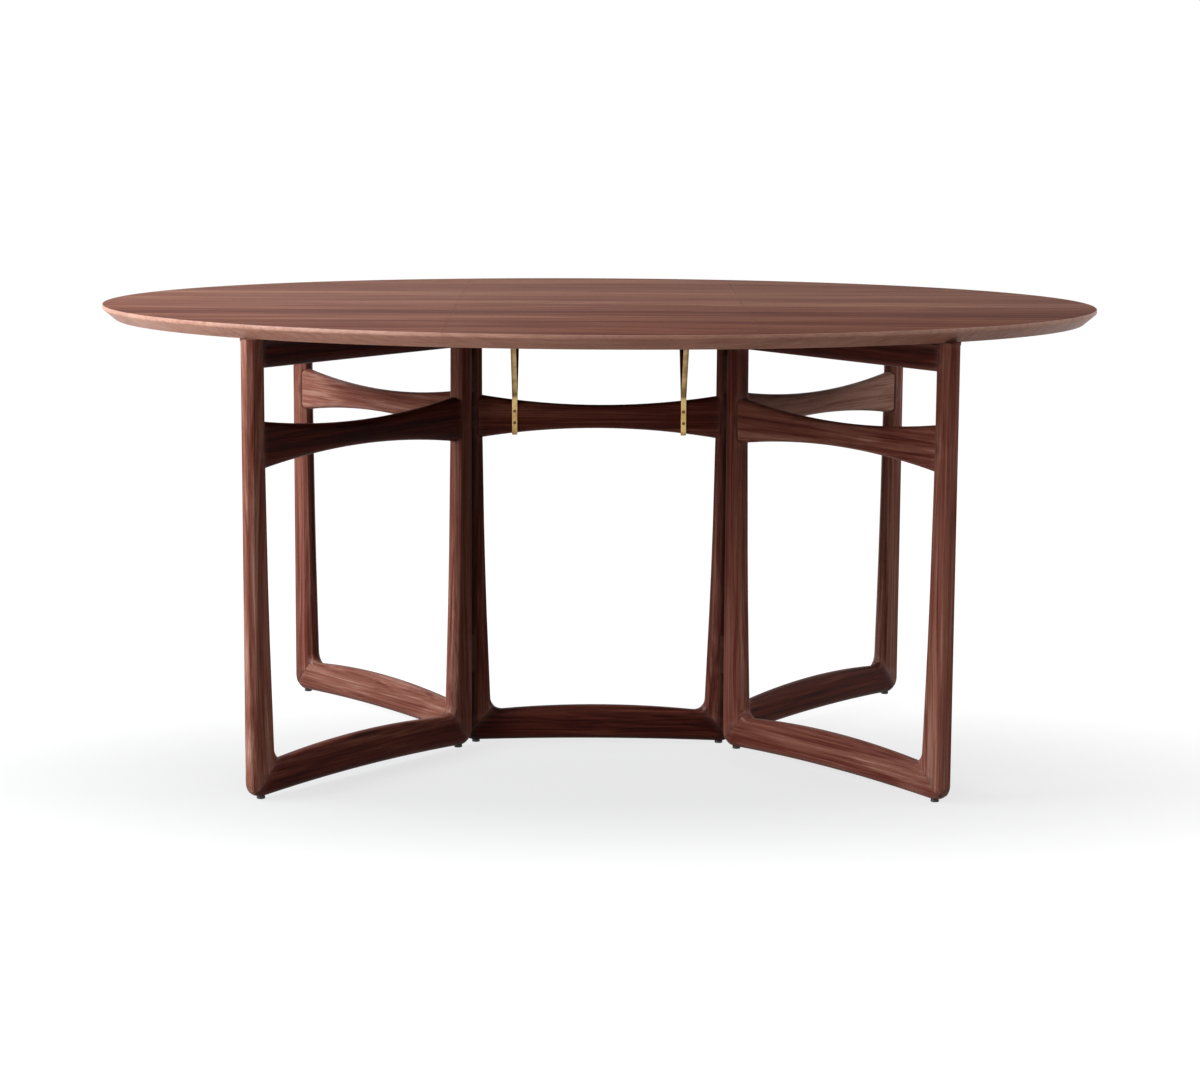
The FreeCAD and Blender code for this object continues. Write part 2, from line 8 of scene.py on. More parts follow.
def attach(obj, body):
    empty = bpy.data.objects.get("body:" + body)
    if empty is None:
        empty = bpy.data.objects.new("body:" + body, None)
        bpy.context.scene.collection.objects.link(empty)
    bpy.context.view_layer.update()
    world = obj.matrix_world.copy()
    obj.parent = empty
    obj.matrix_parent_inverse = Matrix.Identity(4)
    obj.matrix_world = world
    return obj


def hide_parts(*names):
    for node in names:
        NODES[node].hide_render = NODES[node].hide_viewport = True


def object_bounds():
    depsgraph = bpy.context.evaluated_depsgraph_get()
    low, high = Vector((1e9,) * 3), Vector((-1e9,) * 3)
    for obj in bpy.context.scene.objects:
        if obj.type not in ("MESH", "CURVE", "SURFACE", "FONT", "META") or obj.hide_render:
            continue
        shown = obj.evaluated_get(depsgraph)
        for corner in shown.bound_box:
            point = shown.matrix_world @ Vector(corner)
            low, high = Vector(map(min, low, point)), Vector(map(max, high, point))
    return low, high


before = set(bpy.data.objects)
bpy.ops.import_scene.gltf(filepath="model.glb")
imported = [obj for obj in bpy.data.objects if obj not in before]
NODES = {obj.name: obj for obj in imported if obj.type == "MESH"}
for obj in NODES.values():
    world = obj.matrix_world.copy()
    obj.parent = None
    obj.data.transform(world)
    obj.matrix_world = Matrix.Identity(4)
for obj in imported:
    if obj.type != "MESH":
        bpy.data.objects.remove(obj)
cad_lowest, cad_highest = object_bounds()
bpy.ops.object.select_all(action="DESELECT")

# An oval walnut table: a fixed frame under the centre board, and four gates under two leaves.
# Lengths are in metres and angles in degrees. Front is -Y, and the long axis is X.

SIDES = {"left": -1, "right": 1}
ENDS = {"front": -1, "rear": 1}
GATES = {
    f"gate_{end_name}_{side_name}": (side, end)
    for end_name, end in ENDS.items()
    for side_name, side in SIDES.items()
}

# The way each open gate points from its hinge, seen from above and counted from +X
GATE_TURN = {
    "gate_front_left": 232,
    "gate_front_right": 308,
    "gate_rear_left": 128,
    "gate_rear_right": 52,
}
SEAM_X = 0.230
BODY_OF_LEAF = {side: f"leaf_{side}_body" for side in SIDES}


# Shader maths, written as plain expressions

class Value:
    """A shader socket that the usual operators work on."""

    def __init__(self, shop, socket):
        self.shop = shop
        self.socket = socket

    def __add__(self, other):
        return self.shop.maths("ADD", self, other)

    __radd__ = __add__

    def __sub__(self, other):
        return self.shop.maths("SUBTRACT", self, other)

    def __rsub__(self, other):
        return self.shop.maths("SUBTRACT", other, self)

    def __mul__(self, other):
        return self.shop.maths("MULTIPLY", self, other)

    __rmul__ = __mul__

    def __truediv__(self, other):
        return self.shop.maths("DIVIDE", self, other)

    def __rtruediv__(self, other):
        return self.shop.maths("DIVIDE", other, self)

    def between(self, low, high):
        """0 below low, 1 above high and a smooth rise between them."""
        return self.shop.node(
            "ShaderNodeMapRange",
            {"interpolation_type": "SMOOTHSTEP"},
            {"Value": self, "From Min": low, "From Max": high},
        )


class Finish:
    """A material being built: its nodes, and the shader that ends it."""

    def __init__(self, name, tree=None, output="ShaderNodeOutputMaterial"):
        self.material = None
        self.tree = tree
        if tree is None:
            self.material = bpy.data.materials.new(name)
            self.material.use_nodes = True
            self.tree = self.material.node_tree
            self.tree.nodes.clear()
        self.output = self.tree.nodes.new(output)

    def feed(self, socket, value):
        if isinstance(value, Value):
            self.tree.links.new(value.socket, socket)
        else:
            socket.default_value = value

    def node(self, kind, settings=None, sockets=None, out=0):
        """Adds one node. Its settings come first, then its sockets' values or links."""
        made = self.tree.nodes.new(kind)
        for name, setting in (settings or {}).items():
            if name == "stops":
                self._stops(made.color_ramp, setting)
            else:
                setattr(made, name, setting)
        for name, value in (sockets or {}).items():
            self.feed(made.inputs[name], value)
        return Value(self, made.outputs[out])

    def _stops(self, ramp, stops):
        while len(ramp.elements) > 1:
            ramp.elements.remove(ramp.elements[-1])
        for index, (place, colour) in enumerate(stops):
            stop = ramp.elements[0] if index == 0 else ramp.elements.new(place)
            stop.position = place
            stop.color = opaque(colour)

    def maths(self, operation, *values):
        return self.node("ShaderNodeMath", {"operation": operation}, dict(enumerate(values)))

    def vector(self, operation, *values, out=0):
        sockets = dict(enumerate(values))
        return self.node("ShaderNodeVectorMath", {"operation": operation}, sockets, out)

    def joined(self, x, y, z):
        return self.node("ShaderNodeCombineXYZ", {}, {0: x, 1: y, 2: z})

    def parts(self, vector):
        """The three numbers of a vector or a colour."""
        split = self.node("ShaderNodeSeparateXYZ", {}, {0: vector}).socket.node
        return [Value(self, number) for number in split.outputs]

    def mixed(self, share, one, other, blend="MIX"):
        """A colour between one and other, or other laid over one by the blend named."""
        settings = {"data_type": "RGBA", "blend_type": blend}
        return self.node("ShaderNodeMix", settings, {0: share, 6: one, 7: other}, out=2)

    def noise(self, place, scale, detail=2.0, roughness=0.5, distortion=0.0):
        sockets = {
            "Vector": place,
            "Scale": scale,
            "Detail": detail,
            "Roughness": roughness,
            "Distortion": distortion,
        }
        return self.node("ShaderNodeTexNoise", {}, sockets)

    def relief(self, strength, distance, height):
        """A surface normal bent by a fine relief of the height given, from 0 to 1."""
        sockets = {"Strength": strength, "Distance": distance, "Height": height}
        return self.node("ShaderNodeBump", {}, sockets)

    def near_edge(self, distance):
        """1 on outer edges and corners, falling to 0 about the distance away from them."""
        settings = {"inside": True, "only_local": True, "samples": 4}
        sockets = {"Distance": distance}
        return 1 - self.node("ShaderNodeAmbientOcclusion", settings, sockets, out="AO")

    def object_place(self):
        return self.node("ShaderNodeTexCoord", out="Object")

    def seen_directly(self):
        """1 for what the camera sees, plainly or in a mirror or through glass, and 0 for light."""
        rays = self.node("ShaderNodeLightPath").socket.node.outputs
        kinds = ("Camera", "Glossy", "Transmission")
        camera, mirror, glass = (Value(self, rays[f"Is {kind} Ray"]) for kind in kinds)
        return self.maths("MAXIMUM", self.maths("MAXIMUM", camera, mirror), glass)

    def end(self, shader):
        self.tree.links.new(shader.socket, self.output.inputs["Surface"])
        return self.material

    def surface(self, **sockets):
        """Ends the material in one Principled shader."""
        return self.end(self.node("ShaderNodeBsdfPrincipled", {}, sockets))


def tint(red, green, blue):
    """A colour from 0 to 255, made linear."""
    shares = [part / 255 for part in (red, green, blue)]
    return tuple(s / 12.92 if s <= 0.04045 else ((s + 0.055) / 1.055) ** 2.4 for s in shares)


def opaque(colour):
    return tuple(colour) + (1,)


# Walnut: growth rings, streaks and pores that run along the grain

# The dark colour of the glue lines, and of the painted shade in the valley beside the hinges
WALNUT_GLUE_AND_PAINTED_SHADE = tint(20, 6, 4)
WALNUT_DARK = tint(38, 10, 7)
WALNUT_MIDDLE = tint(80, 36, 27)
WALNUT_WARM = tint(114, 72, 59)
WALNUT_PALE = tint(158, 123, 109)
# The pale colour of the painted sheen on the rubbed edges
WALNUT_RUBBED_SHEEN = tint(140, 90, 74)
WALNUT_STOPS = ((0.0, WALNUT_DARK), (0.34, WALNUT_MIDDLE), (0.62, WALNUT_WARM), (1.0, WALNUT_PALE))

# How fine each part of the figure is, along the grain and across it, counted per metre
WANDER_GRAIN = (1.1, 3)
RING_GRAIN = (0.9, 14)
STREAK_GRAIN_ALONG = 1.6
FIBRE_GRAIN = (7, 380)
CLOUD_GRAIN = (0.8, 7)
PORE_GRAIN = (75, 1700)

# How the rings rise and fall, where noise becomes a pore, and how dark the pores are
RINGS_PER_WAVE = 7
RING_RISE = (0.0, 0.78)
RING_FALL = (0.80, 1.0)
PORE_CUT = (0.66, 0.74)
PORE_SHARE = 0.55

# What each part of the figure adds to the tone, which runs from dark at 0 to pale at 1
MIDDLE_TONE = 0.40
RING_TONE = 0.16
STREAK_TONE = 0.95
FIBRE_TONE = 0.60
CLOUD_TONE = 0.45

# The staves of the top, each with its own tone and figure, and painted light that makes the top
# paler from front to rear
STAVE_WIDTH = 0.097
STAVE_SEED = 7.3
STAVE_SHIFT_ALONG = 9
STAVE_SHIFT_DEEP = 0.35
STAVE_TONE = 0.22
TOP_PAINTED_LIGHT_TO_REAR = 0.27
TOP_TINT = (0.93, 0.80, 0.64, 1)

# The rim of the top, which is what doesn't look straight up or down. Its grain is calmer, and
# painted light lifts it and mixes it towards a pale colour
FLAT_FACE = (0.90, 0.99)
RIM_CALM = 0.3
RIM_PAINTED_LIGHT_LIFT = 0.48
RIM_PAINTED_LIGHT = tint(208, 168, 144)
RIM_PAINTED_LIGHT_SHARE = 0.25
RIM_POLISH = 0.35

# Wear along the edges, more in some places than in others, with a painted sheen that makes it
# paler, and the dark glue in the joints
RIM_WEAR_REACH = 0.005
RIM_WEAR_AND_SHEEN = (0.12, 0.5)
EDGE_WEAR_REACH = 0.012
EDGE_WEAR_AND_SHEEN = (0.16, 0.40)
EDGE_GLUE = (0.50, 0.68)
GLUE_SHARE = 0.45
WEAR_LEAST = 0.45
WEAR_CLOUDS = (0.3, 0.7)
WEAR_IN_CLOUDS = 0.4
RUBBED_SHEEN_SHARE = 0.22
RUBBED_POLISH = 0.5

# The valley between a gate's leg and the centre leg, and how far from it the painted shade fades
# out
HINGE_VALLEY = (0.211, 0.0155, 0)
HINGE_PAINTED_SHADE = (0.0055, 0.0165)
HINGE_PAINTED_SHADE_SHARE = 0.85

# Roughness: what each part adds to the middle, and what rubbing takes off
WALNUT_ROUGH = 0.56
FIBRE_ROUGH = 0.16
PORE_ROUGH = 0.15
RUBBED_ROUGH = -0.14

# Relief: how strong and how deep it is, and the heights of what is between pores and of the fibres
GRAIN_RELIEF = 0.22
GRAIN_DEPTH = 0.0004
UNPORED_HEIGHT = 0.6
FIBRE_HEIGHT = 0.4


def walnut(name, turn, staves=False, lift=0.0, seed=0.0, fineness=125, gloss=0.05, wander=0.09):
    """Oiled walnut whose grain runs along X after the turn about X, Y and Z.

    Staves makes it of boards glued side by side, lift makes it paler, seed moves the figure,
    fineness is that of the streaks across the grain, gloss is how much the bare wood reflects,
    and wander is how far the grain strays.
    """
    wood = Finish(name)
    here = wood.object_place()
    turned_place = wood.node(
        "ShaderNodeMapping",
        {"vector_type": "TEXTURE"},
        {"Vector": here, "Rotation": tuple(math.radians(angle) for angle in turn)},
    )
    along, across, deep = wood.parts(turned_place)
    along = along + seed
    if staves:
        stave = wood.maths("FLOOR", across / STAVE_WIDTH + 0.5)
        sockets = {"W": stave + STAVE_SEED}
        chance = wood.node(
            "ShaderNodeTexWhiteNoise", {"noise_dimensions": "1D"}, sockets, out="Color"
        )
        stave_chance, shift_chance, depth_chance = wood.parts(chance)
        along = along + shift_chance * STAVE_SHIFT_ALONG
        deep = deep + depth_chance * STAVE_SHIFT_DEEP

    def figure(grain, line, **noise):
        """Noise drawn out along the grain, as fine along and across as the grain says."""
        place = wood.joined(along * grain[0], line * grain[1], deep * grain[1])
        return wood.noise(place, 1.0, **noise)

    # The grain line strays slowly, and the surface cuts the rings as long curved bands
    drawn = across + (figure(WANDER_GRAIN, across) - 0.5) * wander
    growth = figure(RING_GRAIN, drawn, detail=3.0, roughness=0.55, distortion=0.35)
    rings = wood.maths("FRACT", growth * RINGS_PER_WAVE)
    band = rings.between(*RING_RISE) * (1 - rings.between(*RING_FALL))
    streak = figure((STREAK_GRAIN_ALONG, fineness), drawn, detail=4.0, roughness=0.66)
    fibre = figure(FIBRE_GRAIN, drawn, roughness=0.6)
    cloud = figure(CLOUD_GRAIN, drawn)
    tone = RING_TONE * band + STREAK_TONE * (streak - 0.5)
    tone = tone + FIBRE_TONE * (fibre - 0.5) + CLOUD_TONE * (cloud - 0.5)
    if staves:
        tone = tone + (stave_chance - 0.5) * STAVE_TONE
    tone = tone + (MIDDLE_TONE + lift)
    if staves:
        normal = wood.node("ShaderNodeNewGeometry", out="True Normal")
        upward = wood.maths("ABSOLUTE", wood.parts(normal)[2])
        rim = 1 - upward.between(*FLAT_FACE)
        # Painted light: the rim is lifted paler, and the whole top grows paler towards the rear
        tone = tone * (1 - rim * RIM_CALM) + rim * RIM_PAINTED_LIGHT_LIFT + across * TOP_PAINTED_LIGHT_TO_REAR
    colour = wood.node("ShaderNodeValToRGB", {"stops": WALNUT_STOPS}, {"Fac": tone})
    if staves:
        colour = wood.mixed(1 - rim, colour, TOP_TINT, "MULTIPLY")
        # The rim is mixed towards a pale colour as painted light
        colour = wood.mixed(rim * RIM_PAINTED_LIGHT_SHARE, colour, opaque(RIM_PAINTED_LIGHT))

    # Pores: short dark dashes
    pore = figure(PORE_GRAIN, across, detail=1.0).between(*PORE_CUT)
    colour = wood.mixed(pore * PORE_SHARE, colour, opaque(WALNUT_DARK))

    # Edges that hands and cloths have rubbed smoother, and a painted sheen that makes them paler
    worn = WEAR_LEAST + cloud.between(*WEAR_CLOUDS) * WEAR_IN_CLOUDS
    if staves:
        rubbed_and_sheen = wood.near_edge(RIM_WEAR_REACH).between(*RIM_WEAR_AND_SHEEN) * worn * rim
        polish = rubbed_and_sheen * RUBBED_POLISH + rim * RIM_POLISH
    else:
        edge = wood.near_edge(EDGE_WEAR_REACH)
        glued = edge.between(*EDGE_GLUE)
        rubbed_and_sheen = edge.between(*EDGE_WEAR_AND_SHEEN) * worn * (1 - glued)
        polish = rubbed_and_sheen * RUBBED_POLISH
        # Fine glue lines, and painted shade in the valley where a gate's leg stands beside the
        # centre leg
        from_valley = wood.vector("SUBTRACT", wood.vector("ABSOLUTE", here), HINGE_VALLEY)
        beside = wood.vector("MULTIPLY", from_valley, (1, 1, 0))
        painted_shade = 1 - wood.vector("LENGTH", beside, out="Value").between(*HINGE_PAINTED_SHADE)
        # Darkens the glue lines, and paints shade into the hinge valley
        dark = wood.maths("MAXIMUM", glued * GLUE_SHARE, painted_shade * HINGE_PAINTED_SHADE_SHARE)
        colour = wood.mixed(dark, colour, opaque(WALNUT_GLUE_AND_PAINTED_SHADE))
    # Painted sheen: the rubbed edges are mixed towards a pale colour
    colour = wood.mixed(rubbed_and_sheen * RUBBED_SHEEN_SHARE, colour, opaque(WALNUT_RUBBED_SHEEN))
    rough = WALNUT_ROUGH + (fibre - 0.5) * FIBRE_ROUGH + pore * PORE_ROUGH + rubbed_and_sheen * RUBBED_ROUGH
    height = (1 - pore) * UNPORED_HEIGHT + fibre * FIBRE_HEIGHT
    relief = wood.relief(GRAIN_RELIEF, GRAIN_DEPTH, height)
    sockets = {"Base Color": colour, "Roughness": rough, "Normal": relief, "Coat Weight": polish}
    settled = {"Specular IOR Level": gloss, "Coat Roughness": 0.32, "Coat IOR": 1.45}
    return wood.surface(**sockets, **settled)


# Metals and nylon: clouded tones, and a texture that is finest across the brushing

METAL_RELIEF = 0.15
NYLON_RELIEF = 0.3
RELIEF_DEPTH = 0.0001
BRASS_CLOUDS = 45.0
BRASS_BRUSHING = (1400, 1400, 60)
BRASS_DULLING = (0.35, 0.7)
BRASS_ROUGH = 0.34
BRASS_CLOUD_ROUGH = 0.2
BRASS_BRUSHED_ROUGH = 0.12
STEEL_CLOUDS = 70.0
STEEL_BRUSHING = (900, 900, 90)
STEEL_BROWN = tint(58, 32, 25)
STEEL_BLOOM = tint(76, 46, 37)
STEEL_BLOOMING = (0.35, 0.75)
STEEL_ROUGH = 0.55
STEEL_CLOUD_ROUGH = 0.25
NYLON_CLOUDS = 160.0
NYLON_GRAIN = 1500.0
NYLON_BLACK = tint(24, 23, 23)
NYLON_SCUFFED = tint(46, 44, 43)
NYLON_SCUFFING = (0.35, 0.75)
NYLON_ROUGH = 0.5
NYLON_CLOUD_ROUGH = 0.2


def brass(name, bright, dull):
    """Lacquered brass, finely brushed, darkened in clouds from bright to dull."""
    metal = Finish(name)
    place = metal.object_place()
    cloud = metal.noise(place, BRASS_CLOUDS, detail=3.0, roughness=0.6)
    brushed = metal.noise(metal.vector("MULTIPLY", place, BRASS_BRUSHING), 1.0)
    colour = metal.mixed(cloud.between(*BRASS_DULLING), opaque(bright), opaque(dull))
    rough = BRASS_ROUGH + (cloud - 0.5) * BRASS_CLOUD_ROUGH + (brushed - 0.5) * BRASS_BRUSHED_ROUGH
    relief = metal.relief(METAL_RELIEF, RELIEF_DEPTH, brushed)
    sockets = {"Base Color": colour, "Metallic": 1.0, "Roughness": rough, "Normal": relief}
    return metal.surface(**sockets)


def browned_steel(name):
    """Steel browned to go with the walnut, with a paler bloom and a fine brushing."""
    metal = Finish(name)
    place = metal.object_place()
    cloud = metal.noise(place, STEEL_CLOUDS, detail=4.0, roughness=0.6)
    brushed = metal.noise(metal.vector("MULTIPLY", place, STEEL_BRUSHING), 1.0)
    colour = metal.mixed(cloud.between(*STEEL_BLOOMING), opaque(STEEL_BROWN), opaque(STEEL_BLOOM))
    rough = STEEL_ROUGH + (cloud - 0.5) * STEEL_CLOUD_ROUGH
    relief = metal.relief(METAL_RELIEF, RELIEF_DEPTH, brushed)
    sockets = {"Base Color": colour, "Metallic": 0.15, "Roughness": rough, "Normal": relief}
    return metal.surface(**sockets, **{"Specular IOR Level": 0.1})


def glide_nylon(name):
    """Black nylon with a fine moulded texture, scuffed paler in clouds."""
    nylon = Finish(name)
    place = nylon.object_place()
    cloud = nylon.noise(place, NYLON_CLOUDS, detail=3.0)
    grain = nylon.noise(place, NYLON_GRAIN)
    scuffed = cloud.between(*NYLON_SCUFFING)
    colour = nylon.mixed(scuffed, opaque(NYLON_BLACK), opaque(NYLON_SCUFFED))
    rough = NYLON_ROUGH + (cloud - 0.5) * NYLON_CLOUD_ROUGH
    relief = nylon.relief(NYLON_RELIEF, RELIEF_DEPTH, grain)
    return nylon.surface(**{"Base Color": colour, "Roughness": rough, "Normal": relief})


# The finishes themselves

GRAIN_LEVEL = (0, 0, 0)
GRAIN_UPRIGHT = (0, -90, 0)
# Painted shade: the rails along X are made a little darker, and the centre frame's bottom rail
# much darker, for they stand in shade under the top
WOOD_ALONG_X = walnut("walnut_rails_along", GRAIN_LEVEL, lift=-0.12)
WOOD_CENTRE_FOOT = walnut("walnut_centre_bottom_rail", GRAIN_LEVEL, lift=-0.32, seed=9.2)
WOOD_CENTRE_LEG = walnut("walnut_centre_legs", GRAIN_UPRIGHT, seed=1.9)
WOOD_TOP = walnut(
    "walnut_top",
    GRAIN_LEVEL,
    staves=True,
    lift=0.05,
    seed=3.7,
    fineness=150,
    gloss=0.02,
    wander=0.05,
)

# Every member of a gate is cut from its own board, so each has its own figure and tone; the tones
# are also painted light and shade, darker for members that stand in shade and paler for those that
# catch the light
GATE_MEMBERS = ("inner_leg", "outer_leg", "bottom_rail", "mid_rail", "top_rail")
GATE_TONES_AND_PAINTED_LIGHT = {
    "gate_front_left": (0.08, 0.16, -0.19, -0.34, -0.40),
    "gate_front_right": (-0.04, 0.00, -0.04, 0.00, -0.20),
    "gate_rear_left": (0.02, 0.00, 0.04, 0.12, 0.00),
    "gate_rear_right": (0.02, 0.10, -0.22, 0.42, -0.05),
}
SEED_STEP = 1.3
GATE_WOOD = {}
for gate, lifts in GATE_TONES_AND_PAINTED_LIGHT.items():
    for member, lift in zip(GATE_MEMBERS, lifts):
        turn = GRAIN_UPRIGHT if "leg" in member else (0, 0, GATE_TURN[gate] % 180)
        seed = SEED_STEP * len(GATE_WOOD)
        GATE_WOOD[gate, member] = walnut(f"walnut_{gate}_{member}", turn, lift=lift, seed=seed)
BRASS = brass("brass", tint(196, 166, 112), tint(160, 126, 76))
OLD_BRASS = brass("brass_darkened", tint(112, 84, 50), tint(78, 56, 34))
STEEL = browned_steel("blackened_steel")
GLIDE = glide_nylon("glide")


# Tools for pieces

MERGE_REACH = 0.00002
FLAT_BEND = 0.4
BEVEL_BEND = (38, 52)
CORNER_BEND = 60


def dress(piece, material, body, slot, *nodes):
    """Gives a piece its material and its body, and hides the nodes that it stands for. Its slot is
    not used.
    """
    piece.data.materials.clear()
    piece.data.materials.append(material)
    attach(piece, body)
    if nodes:
        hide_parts(*nodes)


def edit(piece):
    """Puts one piece in edit mode with nothing selected."""
    bpy.ops.object.select_all(action="DESELECT")
    bpy.context.view_layer.objects.active = piece
    piece.select_set(True)
    bpy.ops.object.mode_set(mode="EDIT")
    bpy.ops.mesh.select_all(action="DESELECT")


def out_of_edit(piece, smooth):
    """Leaves edit mode, and shades the piece smooth over bends below the angle."""
    bpy.ops.mesh.select_all(action="DESELECT")
    bpy.ops.object.mode_set(mode="OBJECT")
    bpy.ops.object.shade_smooth_by_angle(angle=math.radians(smooth))
    piece.select_set(False)


def merged_copy(node_name, name):
    """A copy of a CAD node whose loose triangles are joined into whole faces."""
    source = NODES[node_name]
    piece = bpy.data.objects.new(name, source.data.copy())
    bpy.context.collection.objects.link(piece)
    piece.matrix_world = source.matrix_world
    for attribute in ("custom_normal", "sharp_face"):
        if attribute in piece.data.attributes:
            piece.data.attributes.remove(piece.data.attributes[attribute])
    edit(piece)
    bpy.ops.mesh.select_all(action="SELECT")
    bpy.ops.mesh.remove_doubles(threshold=MERGE_REACH)
    bpy.ops.mesh.dissolve_limited(angle_limit=math.radians(FLAT_BEND))
    bpy.ops.mesh.select_all(action="DESELECT")
    bpy.ops.object.mode_set(mode="OBJECT")
    return piece


def select_edges(piece, wanted):
    """Selects the edges that wanted(edge, bend) accepts. The piece is in edit mode."""
    bpy.ops.mesh.select_mode(type="EDGE")
    bpy.ops.mesh.select_all(action="DESELECT")
    mesh = bmesh.from_edit_mesh(piece.data)
    for edge in mesh.edges:
        if len(edge.link_faces) == 2:
            edge.select = wanted(edge, math.degrees(edge.calc_face_angle(0)))
    mesh.select_flush_mode()
    bmesh.update_edit_mesh(piece.data)


def select_faces(piece, wanted):
    """Selects the faces that wanted(face) accepts. The piece is in edit mode."""
    bpy.ops.mesh.select_mode(type="FACE")
    bpy.ops.mesh.select_all(action="DESELECT")
    mesh = bmesh.from_edit_mesh(piece.data)
    for face in mesh.faces:
        face.select = wanted(face)
    mesh.select_flush_mode()
    bmesh.update_edit_mesh(piece.data)


def rounded(piece, width, wanted, segments, smooth):
    """Rounds the wanted edges of a piece and shades it smooth."""
    edit(piece)
    select_edges(piece, wanted)
    bpy.ops.mesh.bevel(offset=width, segments=segments, profile=0.5, clamp_overlap=True)
    out_of_edit(piece, smooth)


def on_bevel(edge, bend):
    return BEVEL_BEND[0] < bend < BEVEL_BEND[1]


def on_corner(edge, bend):
    return bend > CORNER_BEND


# The wood members, with their bevels rounded into full soft edges

LEG_ROUND = 0.0047
RAIL_ROUND = 0.0041
MEMBER_SMOOTH = 32


def wood_member(node_name, material, body, width):
    piece = merged_copy(node_name, node_name + "_walnut")
    rounded(piece, width, on_bevel, 3, MEMBER_SMOOTH)
    dress(piece, material, body, "walnut", node_name)


for side in SIDES:
    wood_member(f"centre_leg_{side}", WOOD_CENTRE_LEG, "centre", LEG_ROUND)
wood_member("centre_bottom_rail", WOOD_CENTRE_FOOT, "centre", LEG_ROUND)
wood_member("centre_mid_rail", WOOD_ALONG_X, "centre", RAIL_ROUND)
wood_member("centre_top_rail", WOOD_ALONG_X, "centre", RAIL_ROUND)
for (gate, member), wood in GATE_WOOD.items():
    slender = member in ("mid_rail", "top_rail")
    wood_member(f"{gate}_{member}", wood, gate, RAIL_ROUND if slender else LEG_ROUND)

# The boards of the top, with a fine softened arris

ARRIS_ROUND = 0.0014
ARRIS_BEND = 38
ARRIS_DEPTH = 0.012
AT_RIM = 0.97
LEVEL_REACH = 0.0001
BOARD_SMOOTH = 28
SEAM_REACH = 0.0004
SEAM_EASE = 0.00006
TOP_HALF_LENGTH, TOP_HALF_WIDTH, TOP_LEVEL = cad_highest


def close_seams(piece):
    """Draws the edges at the seams together, so that the boards meet in a hairline."""
    for side in SIDES.values():
        seam = side * SEAM_X
        edit(piece)
        bpy.ops.mesh.select_mode(type="VERT")
        mesh = bmesh.from_edit_mesh(piece.data)
        across = 0
        for vertex in mesh.verts:
            vertex.select = abs(vertex.co.x - seam) < SEAM_REACH
            if vertex.select:
                across = seam - vertex.co.x
        mesh.select_flush_mode()
        bmesh.update_edit_mesh(piece.data)
        if across:
            bpy.ops.transform.translate(value=(math.copysign(SEAM_EASE, across), 0, 0))
        bpy.ops.object.mode_set(mode="OBJECT")


def board(node_name, body):
    piece = merged_copy(node_name, node_name + "_board")

    def on_arris(edge, bend):
        ends = [piece.matrix_world @ vertex.co for vertex in edge.verts]
        middle = (ends[0] + ends[1]) / 2
        at_rim = math.hypot(middle.x / TOP_HALF_LENGTH, middle.y / TOP_HALF_WIDTH) > AT_RIM
        level = abs(ends[0].z - ends[1].z) < LEVEL_REACH
        return bend > ARRIS_BEND and at_rim and level and middle.z > TOP_LEVEL - ARRIS_DEPTH

    close_seams(piece)
    rounded(piece, ARRIS_ROUND, on_arris, 3, BOARD_SMOOTH)
    dress(piece, WOOD_TOP, body, "walnut", node_name)


board("centre_top", "centre")
for side in SIDES:
    board(f"leaf_{side}", BODY_OF_LEAF[side])

# Small pieces that are drawn once and copied

SMALL_SMOOTH = 35
NEAR_TOP = 0.9
NEAR_FOOT = 0.1
FACING_UP = 0.9


def turned_blank(name, sides, radius, height):
    """A cylinder that stands on zero, ready to be shaped in edit mode."""
    bpy.ops.mesh.primitive_cylinder_add(
        vertices=sides, radius=radius, depth=height, location=(0, 0, height / 2)
    )
    blank = bpy.context.object
    blank.name = name
    bpy.ops.object.transform_apply(location=True)
    edit(blank)
    return blank


def cut_across(point, normal):
    """Cuts the whole of the piece in edit mode along a plane, and keeps both sides."""
    bpy.ops.mesh.select_all(action="SELECT")
    bpy.ops.mesh.bisect(plane_co=point, plane_no=normal)


def looking(place, direction, spin=0.0):
    """The matrix that sets a piece drawn looking up at a place, looking along a direction."""
    turned = Vector(direction).to_track_quat("Z", "Y").to_matrix().to_4x4()
    return Matrix.Translation(place) @ turned @ Matrix.Rotation(math.radians(spin), 4, "Z")


def copies(pattern, name, matrices):
    """One piece made of copies of a pattern, each at its own matrix."""
    joined = bmesh.new()
    for matrix in matrices:
        mesh = pattern.data.copy()
        mesh.transform(matrix)
        joined.from_mesh(mesh)
        bpy.data.meshes.remove(mesh)
    mesh = bpy.data.meshes.new(name)
    joined.to_mesh(mesh)
    joined.free()
    piece = bpy.data.objects.new(name, mesh)
    bpy.context.collection.objects.link(piece)
    return piece


# Screws: the ease and the slot's depth are shares of the head's height, the rest of its radius

SCREW_SIDES = 28
SCREW_EASE = 0.55
SLOT_HALF_WIDTH = 0.16
SLOT_HALF_LENGTH = 0.62
SLOT_DEPTH = 0.45

# Each set turns its slots a little differently, as a hand driver leaves them
SLOT_TURNS = (12, 78, 141, 33, 104, 60, 165, 93, 21, 128, 49, 152)
DOWN = (0, 0, -1)


